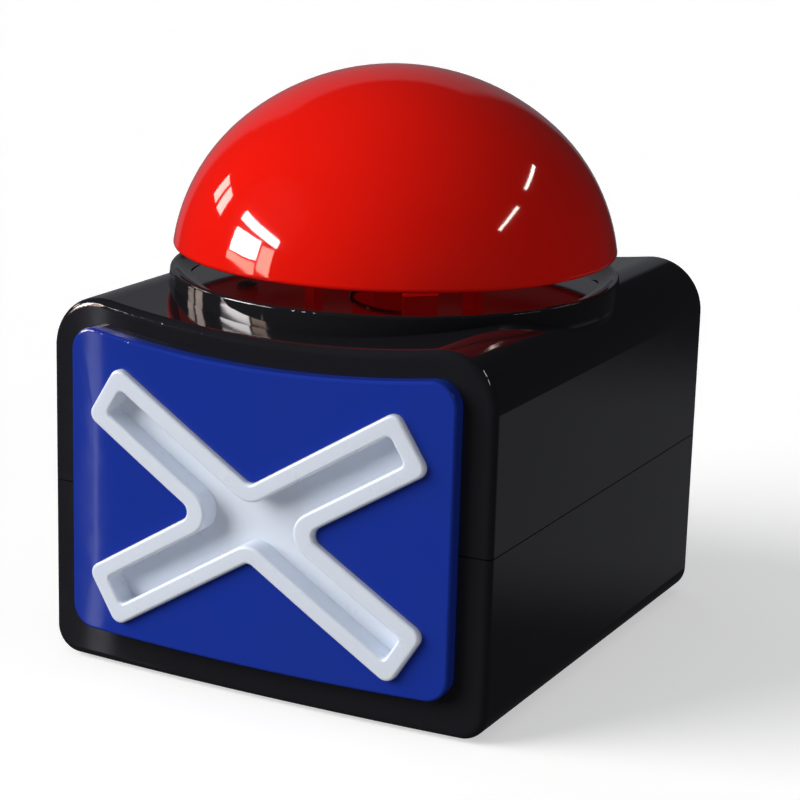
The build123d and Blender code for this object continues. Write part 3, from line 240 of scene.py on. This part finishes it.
for name, across, up, width, height, radiance, colour, spin in window_panes:
    pane = bpy.data.lights.new(name, "AREA")
    pane.shape = "RECTANGLE"
    pane.size = 2 * light_distance * math.tan(math.radians(width / 2))
    pane.size_y = 2 * light_distance * math.tan(math.radians(height / 2))
    pane.energy = radiance * math.pi * pane.size * pane.size_y
    pane.color = linear(colour)[:3]
    outward = outwards(across, up)
    lamp = hang_light(name, pane, dome_middle + light_distance * outward, outward, spin)
    lamp.visible_diffuse = False


# --- Lower case and rubber feet -------------------------------------------------------------------
# The box's lower half is injection-moulded black ABS from a polished tool: high gloss, with a
# faint ripple where ribs and screw columns shrink behind the wall. Four rubber discs are glued
# underneath.

def moulded(name, colour, shade, roughness, ripple_mm=5.0, ripple_um=4.0, grain_mm=0.35,
            grain_um=0.6, ior=1.54, subsurface=0.0, transmission=0.0, glow=0.0):
    """A moulded plastic: two close colours mixed by cloudiness, a rippled and grained skin, and
    handling marks in its gloss. It may also scatter or pass light, and glow faintly."""
    cloud_mm, rub_mm = 22.0, 9.0
    material, tree = new_material(name)
    place = add(tree, "ShaderNodeTexCoord").outputs["Object"]
    cloud = add(tree, "ShaderNodeTexNoise",
                {"Scale": 1000 / cloud_mm, "Detail": 3.0, "Roughness": 0.6}, {"Vector": place})
    tone = add(tree, "ShaderNodeMix", {"data_type": "RGBA", 6: linear(colour), 7: linear(shade)},
               {0: cloud.outputs["Fac"]})
    rub = add(tree, "ShaderNodeTexNoise", {"Scale": 1000 / rub_mm, "Detail": 6.0, "Roughness": 0.7},
              {"Vector": place})
    gloss = add(tree, "ShaderNodeMapRange",
                {"From Min": 0.35, "From Max": 0.75,
                 "To Min": roughness * 0.85, "To Max": roughness * 1.35},
                {"Value": rub.outputs["Fac"]})
    ripple = add(tree, "ShaderNodeTexNoise", {"Scale": 1000 / ripple_mm, "Detail": 0.0},
                 {"Vector": place})
    grain = add(tree, "ShaderNodeTexNoise", {"Scale": 1000 / grain_mm, "Detail": 2.0},
                {"Vector": place})
    broad = add(tree, "ShaderNodeBump", {"Strength": 1.0, "Distance": ripple_um * 1e-6},
                {"Height": ripple.outputs["Fac"]})
    fine = add(tree, "ShaderNodeBump", {"Strength": 1.0, "Distance": grain_um * 1e-6},
               {"Height": grain.outputs["Fac"], "Normal": broad.outputs["Normal"]})
    skin = add(tree, "ShaderNodeBsdfPrincipled",
               {"IOR": ior, "Subsurface Weight": subsurface,
                "Subsurface Radius": (0.002, 0.002, 0.0024), "Subsurface Scale": 1.0,
                "Transmission Weight": transmission, "Emission Color": linear(colour),
                "Emission Strength": glow},
               {"Base Color": tone.outputs[2], "Roughness": gloss.outputs["Result"],
                "Normal": fine.outputs["Normal"]})
    add(tree, "ShaderNodeOutputMaterial", {}, {"Surface": skin.outputs[0]})
    return material


def finish_nodes(material, *names):
    """Gives CAD nodes their finished material."""
    for name in names:
        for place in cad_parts[name].material_slots:
            place.material = material


# ABS from a polished tool: deep glossy black that mirrors the room, slightly cloudy from handling.
black_abs = moulded("glossy_black_abs", "#1A1A1E", "#1E1E22", 0.07)
finish_nodes(black_abs, "lower_case")
# Moulded rubber: dull charcoal with a fine pebbled skin.
rubber = moulded("black_rubber", "#1B1B1B", "#242424", 0.75, grain_mm=0.5, grain_um=8.0)
finish_nodes(rubber, "rubber_feet")


# --- Batteries, their contacts and the battery door -----------------------------------------------
# Three AA cells lie side by side in a bay moulded into the lower case. Steel springs and plates of
# tinned brass touch their ends, and a black ABS door below is held by two tabs and one screw.

def two_finishes(name, first, second, box):
    """The first finish inside a box of object coordinates, and the second outside it."""
    grain_mm = 0.8
    material, tree = new_material(name)
    place = add(tree, "ShaderNodeTexCoord").outputs["Object"]
    split = add(tree, "ShaderNodeSeparateXYZ", {}, {0: place})
    inside = None
    for axis, (low, high) in box.items():
        above = add(tree, "ShaderNodeMath", {"operation": "GREATER_THAN", 1: low},
                    {0: split.outputs[axis]})
        below = add(tree, "ShaderNodeMath", {"operation": "LESS_THAN", 1: high},
                    {0: split.outputs[axis]})
        within = add(tree, "ShaderNodeMath", {"operation": "MULTIPLY"},
                     {0: above.outputs[0], 1: below.outputs[0]})
        inside = within if inside is None else add(
            tree, "ShaderNodeMath", {"operation": "MULTIPLY"},
            {0: inside.outputs[0], 1: within.outputs[0]})
    grain = add(tree, "ShaderNodeTexNoise", {"Scale": 1000 / grain_mm, "Detail": 3.0},
                {"Vector": place})
    fine = add(tree, "ShaderNodeBump", {"Distance": 1.5e-6}, {"Height": grain.outputs["Fac"]})
    skins = []
    for colour, metallic, roughness in (second, first):
        worn = add(tree, "ShaderNodeMapRange",
                   {"To Min": roughness * 0.75, "To Max": roughness * 1.3},
                   {"Value": grain.outputs["Fac"]})
        skins.append(add(tree, "ShaderNodeBsdfPrincipled",
                         {"Base Color": linear(colour), "Metallic": metallic},
                         {"Roughness": worn.outputs["Result"], "Normal": fine.outputs["Normal"]}))
    blend = add(tree, "ShaderNodeMixShader", {},
                {0: inside.outputs[0], 1: skins[0].outputs[0], 2: skins[1].outputs[0]})
    add(tree, "ShaderNodeOutputMaterial", {}, {"Surface": blend.outputs[0]})
    return material


def plated(name, colour, roughness, grain_mm=0.25):
    """Plated or drawn metal: bright, with fine uneven plating."""
    bloom_mm = 1.5
    material, tree = new_material(name)
    place = add(tree, "ShaderNodeTexCoord").outputs["Object"]
    bloom = add(tree, "ShaderNodeTexNoise", {"Scale": 1000 / bloom_mm, "Detail": 4.0},
                {"Vector": place})
    gloss = add(tree, "ShaderNodeMapRange", {"To Min": roughness * 0.7, "To Max": roughness * 1.4},
                {"Value": bloom.outputs["Fac"]})
    grain = add(tree, "ShaderNodeTexNoise", {"Scale": 1000 / grain_mm, "Detail": 2.0},
                {"Vector": place})
    fine = add(tree, "ShaderNodeBump", {"Distance": 2e-6}, {"Height": grain.outputs["Fac"]})
    skin = add(tree, "ShaderNodeBsdfPrincipled", {"Base Color": linear(colour), "Metallic": 1.0},
               {"Roughness": gloss.outputs["Result"], "Normal": fine.outputs["Normal"]})
    add(tree, "ShaderNodeOutputMaterial", {}, {"Surface": skin.outputs[0]})
    return material


# A film sleeve shrunk on, plain blue, with bare nickel at both ends.
bare_end = 0.0018
for number in (1, 2, 3):
    low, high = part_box(f"battery_cell_{number}")
    sleeve = two_finishes(f"cell_sleeve_{number}", ("#2C4E6B", 0.0, 0.28), ("#C4C3BE", 1.0, 0.3),
                          {"X": (low.x + bare_end, high.x - bare_end)})
    finish_nodes(sleeve, f"battery_cell_{number}")
# Spring steel drawn to wire: bright, slightly uneven grey.
drawn_wire = plated("drawn_spring_wire", "#A9ABAF", 0.24)
finish_nodes(drawn_wire, "contact_springs")
# Warm silver tin over brass.
tinned_brass = plated("tinned_brass", "#C9C2AE", 0.28)
finish_nodes(tinned_brass, "contact_plates")
# Bright zinc with a faint blue cast.
zinc_steel = plated("zinc_plated_steel", "#BFC3C8", 0.32)
finish_nodes(zinc_steel, "door_screw")
finish_nodes(black_abs, "battery_door")


# --- Control board, chip and parts ----------------------------------------------------------------
# The sound board is green glass-epoxy laminate on four standoffs over the battery bay. Its copper
# tracks show as paler, slightly raised lines under the lacquer, and the chip's legs are bright tin.

def circuit_board(name, upward):
    """Green lacquered laminate, with rows of copper tracks in the board's own plane."""
    track_pitch_mm, track_run_mm, half_track_mm, cloud_mm = 1.27, 7.62, 0.17, 6.0
    material, tree = new_material(name)
    place = add(tree, "ShaderNodeTexCoord").outputs["Object"]
    split = add(tree, "ShaderNodeSeparateXYZ", {}, {0: place})
    flat = add(tree, "ShaderNodeCombineXYZ", {}, {0: split.outputs["X"], 1: split.outputs[upward]})
    tracks = add(tree, "ShaderNodeTexBrick",
                 {"Color1": linear("#0E4726"), "Color2": linear("#104B29"),
                  "Mortar": linear("#2B7A46"), "Scale": 1000.0, "Mortar Size": half_track_mm,
                  "Mortar Smooth": 0.1, "Brick Width": track_run_mm, "Row Height": track_pitch_mm},
                 {"Vector": flat.outputs[0]})
    raised = add(tree, "ShaderNodeBump", {"Distance": 3.5e-5}, {"Height": tracks.outputs["Fac"]})
    cloud = add(tree, "ShaderNodeTexNoise", {"Scale": 1000 / cloud_mm, "Detail": 4.0},
                {"Vector": place})
    gloss = add(tree, "ShaderNodeMapRange", {"To Min": 0.22, "To Max": 0.38},
                {"Value": cloud.outputs["Fac"]})
    skin = add(tree, "ShaderNodeBsdfPrincipled", {"IOR": 1.5},
               {"Base Color": tracks.outputs["Color"], "Roughness": gloss.outputs["Result"],
                "Normal": raised.outputs["Normal"]})
    add(tree, "ShaderNodeOutputMaterial", {}, {"Surface": skin.outputs[0]})
    return material


finish_nodes(circuit_board("green_lacquered_board", "Y"), "control_board")
# Matt moulded epoxy between rows of bright tinned legs.
low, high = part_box("sound_chip")
leg_reach = 0.00135
chip_finish = two_finishes("epoxy_chip_with_tinned_legs", ("#141416", 0.0, 0.45),
                           ("#C8C9C6", 1.0, 0.25), {"Y": (low.y + leg_reach, high.y - leg_reach)})
finish_nodes(chip_finish, "sound_chip")
# Shrink-sleeved capacitors with bare aluminium tops, beside black epoxy parts.
bare_top, below_parts = 0.0003, 0.001
low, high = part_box("board_parts")
parts_finish = two_finishes("sleeved_and_epoxy_parts", ("#1B1C22", 0.0, 0.35),
                            ("#B9BCC0", 1.0, 0.3),
                            {"Z": (low.z - below_parts, high.z - bare_top)})
finish_nodes(parts_finish, "board_parts")
finish_nodes(zinc_steel, "board_screws")


# --- Speaker --------------------------------------------------------------------------------------
# A 36 mm speaker faces the grille in the back wall. Its pressed steel basket is screwed to bosses,
# the cone is black pressed paper with a rolled edge and a domed cap, and a ferrite magnet closes
# its back.

finish_nodes(zinc_steel, "speaker_frame", "speaker_screws")
# Felted black paper that takes almost no shine.
cone_paper = moulded("black_cone_paper", "#161514", "#201E1C", 0.85, grain_um=12.0)
low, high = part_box("speaker_cone")
middle = (low + high) / 2
cone_radius = (high.x - low.x) / 2
paper_thick = 0.0004
shape = bmesh.new()
# Radius, and depth behind the grille, from the middle outwards.
profile = [(0.0, 0.0016), (0.0015, 0.0018), (0.0028, 0.0023), (0.0040, 0.0030), (0.0044, 0.0031),
           (0.0080, 0.0022), (0.0110, 0.0013), (0.0118, 0.0009), (0.0124, 0.0012), (0.0131, 0.0015),
           (0.0138, 0.0012), (0.0144, 0.0006), (cone_radius, 0.0005)]
points = [shape.verts.new((middle.x + radius, high.y - depth, middle.z))
          for radius, depth in profile]
rim = [shape.edges.new(pair) for pair in zip(points, points[1:])]
bmesh.ops.spin(shape, geom=points + rim, cent=middle, axis=(0, 1, 0), angle=2 * math.pi, steps=96,
               use_merge=True)
bmesh.ops.remove_doubles(shape, verts=shape.verts, dist=1e-6)
bmesh.ops.recalc_face_normals(shape, faces=shape.faces)
if sum(f.normal.y for f in shape.faces) < 0:
    bmesh.ops.reverse_faces(shape, faces=shape.faces)
bmesh.ops.solidify(shape, geom=shape.faces[:], thickness=paper_thick)
pressed_cone = mesh_object("pressed_paper_cone", shape, cone_paper, smooth_angle=40)
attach(pressed_cone, "case")
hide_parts("speaker_cone")
# Dark grey fired ceramic, matt and faintly speckled.
ferrite = moulded("grey_ferrite", "#2B2B2D", "#37373B", 0.6, grain_um=4.0)
finish_nodes(ferrite, "speaker_magnet")


# --- Power switch ---------------------------------------------------------------------------------
# A stock slide switch hangs from two bosses in the case floor. Its can is tinned steel, and a small
# matt nylon knob reaches down into a dished slot.

finish_nodes(tinned_brass, "power_switch")
finish_nodes(zinc_steel, "power_screws")
# Dull dark moulding from a blasted tool.
dark_nylon = moulded("matt_dark_nylon", "#17171A", "#1D1D20", 0.45, grain_um=3.0)
finish_nodes(dark_nylon, "power_knob")


# --- Lights behind the cross ----------------------------------------------------------------------
# Nine white lamps stand on a cross-shaped board screwed to posts behind the lens. They are cast in
# clear epoxy, which is glassy with a slightly milky body.

finish_nodes(circuit_board("green_lacquered_lamp_board", "Z"), "light_board")
finish_nodes(zinc_steel, "light_board_screws")
clear_epoxy = moulded("clear_white_epoxy", "#E4E9EC", "#ECEFF1", 0.06, transmission=0.7)
finish_nodes(clear_epoxy, "light_leds")


# --- Front panel and cross ------------------------------------------------------------------------
# The panel is glossy blue ABS, bowed like the case's front, and the cross is a milky diffuser of
# polystyrene that pushes through it from behind. The flange and four screws clamp both to the case.

# A clean saturated blue with a mirror-like skin.
blue_abs = moulded("glossy_blue_abs", "#19329F", "#1C3593", 0.04)
finish_nodes(blue_abs, "front_panel")
# Light soaks in and softens the edges, and the skin is only satin. A faint glow stands for the
# daylight that the thin walls pass on, which keeps the tray's floor and sides pale.
milky_polystyrene = moulded("milky_polystyrene", "#D8E0EC", "#D4DCE9", 0.30, subsurface=0.35,
                            ripple_um=3.0, glow=0.06)
finish_nodes(milky_polystyrene, "cross_lens")
finish_nodes(zinc_steel, "panel_screws")


# --- Upper case and collar ------------------------------------------------------------------------
# The upper half sags between two round crests and is moulded like the lower one. The collar is its
# own black ABS moulding: its spigot snaps into the case's round hole, and its rim guards the
# dome's edge.

finish_nodes(black_abs, "upper_case")
# The same ABS with hardly a ripple, so its reflections are straighter and sharper.
collar_abs = moulded("polished_black_abs", "#17171A", "#1A1A1D", 0.05, ripple_um=0.5, grain_um=0.2)
finish_nodes(collar_abs, "collar_ring")


# --- Button mechanism -----------------------------------------------------------------------------
# A nylon guide hangs under the collar's deck and holds the return spring and the lever microswitch.
# The switch's case is dark nylon, its plunger is red, and its lever and terminals are bright metal.

finish_nodes(dark_nylon, "spring_guide", "switch_body")
finish_nodes(drawn_wire, "switch_lever")
# The spring stands on the cup's floor.
low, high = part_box("return_spring")
shape = bmesh.new()
shape.from_mesh(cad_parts["return_spring"].data)
bmesh.ops.remove_doubles(shape, verts=shape.verts, dist=1e-6)
coil_spring = mesh_object("coiled_return_spring", shape, drawn_wire, smooth_angle=40)
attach(coil_spring, "case")
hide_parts("return_spring")
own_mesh(coil_spring)
finish_nodes(tinned_brass, "switch_terminals")
# Plain red, with a low sheen.
red_nylon = moulded("red_nylon", "#A61A12", "#B21E15", 0.4)
finish_nodes(red_nylon, "switch_actuator")
finish_nodes(zinc_steel, "guide_screws", "switch_screws")


# --- Dome -----------------------------------------------------------------------------------------
# The hollow dome is glossy red polystyrene. Four screws hold its carrier, a red ring with hooked
# legs that snap through the collar's deck, so the two move down together.

# A deep even red under a hard, glassy skin.
red_polystyrene = moulded("glossy_red_polystyrene", "#E8170A", "#E01307", 0.05, ior=1.59,
                          ripple_mm=9.0, ripple_um=3.0, grain_um=0.2)
finish_nodes(red_polystyrene, "dome_cap")
# The same plastic under the dome. A faint red glow stands for the daylight that soaks through the
# dome's wall, so its underside shows dull red in the gap.
lit_polystyrene = moulded("red_polystyrene_under_the_dome", "#E8170A", "#E01307", 0.12, ior=1.59,
                          grain_um=0.4, glow=0.16)
finish_nodes(lit_polystyrene, "dome_carrier")
finish_nodes(zinc_steel, "dome_screws")


# --- Case screws and wires ------------------------------------------------------------------------
# Four long screws come up through the lower case's columns into the upper half. The wires are
# stranded copper in soft PVC: red from the batteries, black to the speaker, white to the lights,
# yellow to the press switch and grey to the power switch.

finish_nodes(zinc_steel, "case_screws")
jackets = (
    ("battery_wires", "#9E1C15", "#A82019"),
    ("speaker_wires", "#161616", "#1D1D1D"),
    ("light_wires", "#D9D7D0", "#E2E0DA"),
    ("switch_wires", "#B8A21E", "#C2AC25"),
    ("power_wires", "#6E7073", "#787A7D"),
)
for node, colour, shade in jackets:
    soft_pvc = moulded(f"soft_pvc_on_{node}", colour, shade, 0.4, grain_mm=0.6, grain_um=3.0)
    finish_nodes(soft_pvc, node)


# --- Finish ---------------------------------------------------------------------------------------
# Plain display colours.

scene.view_settings.view_transform = "Standard"
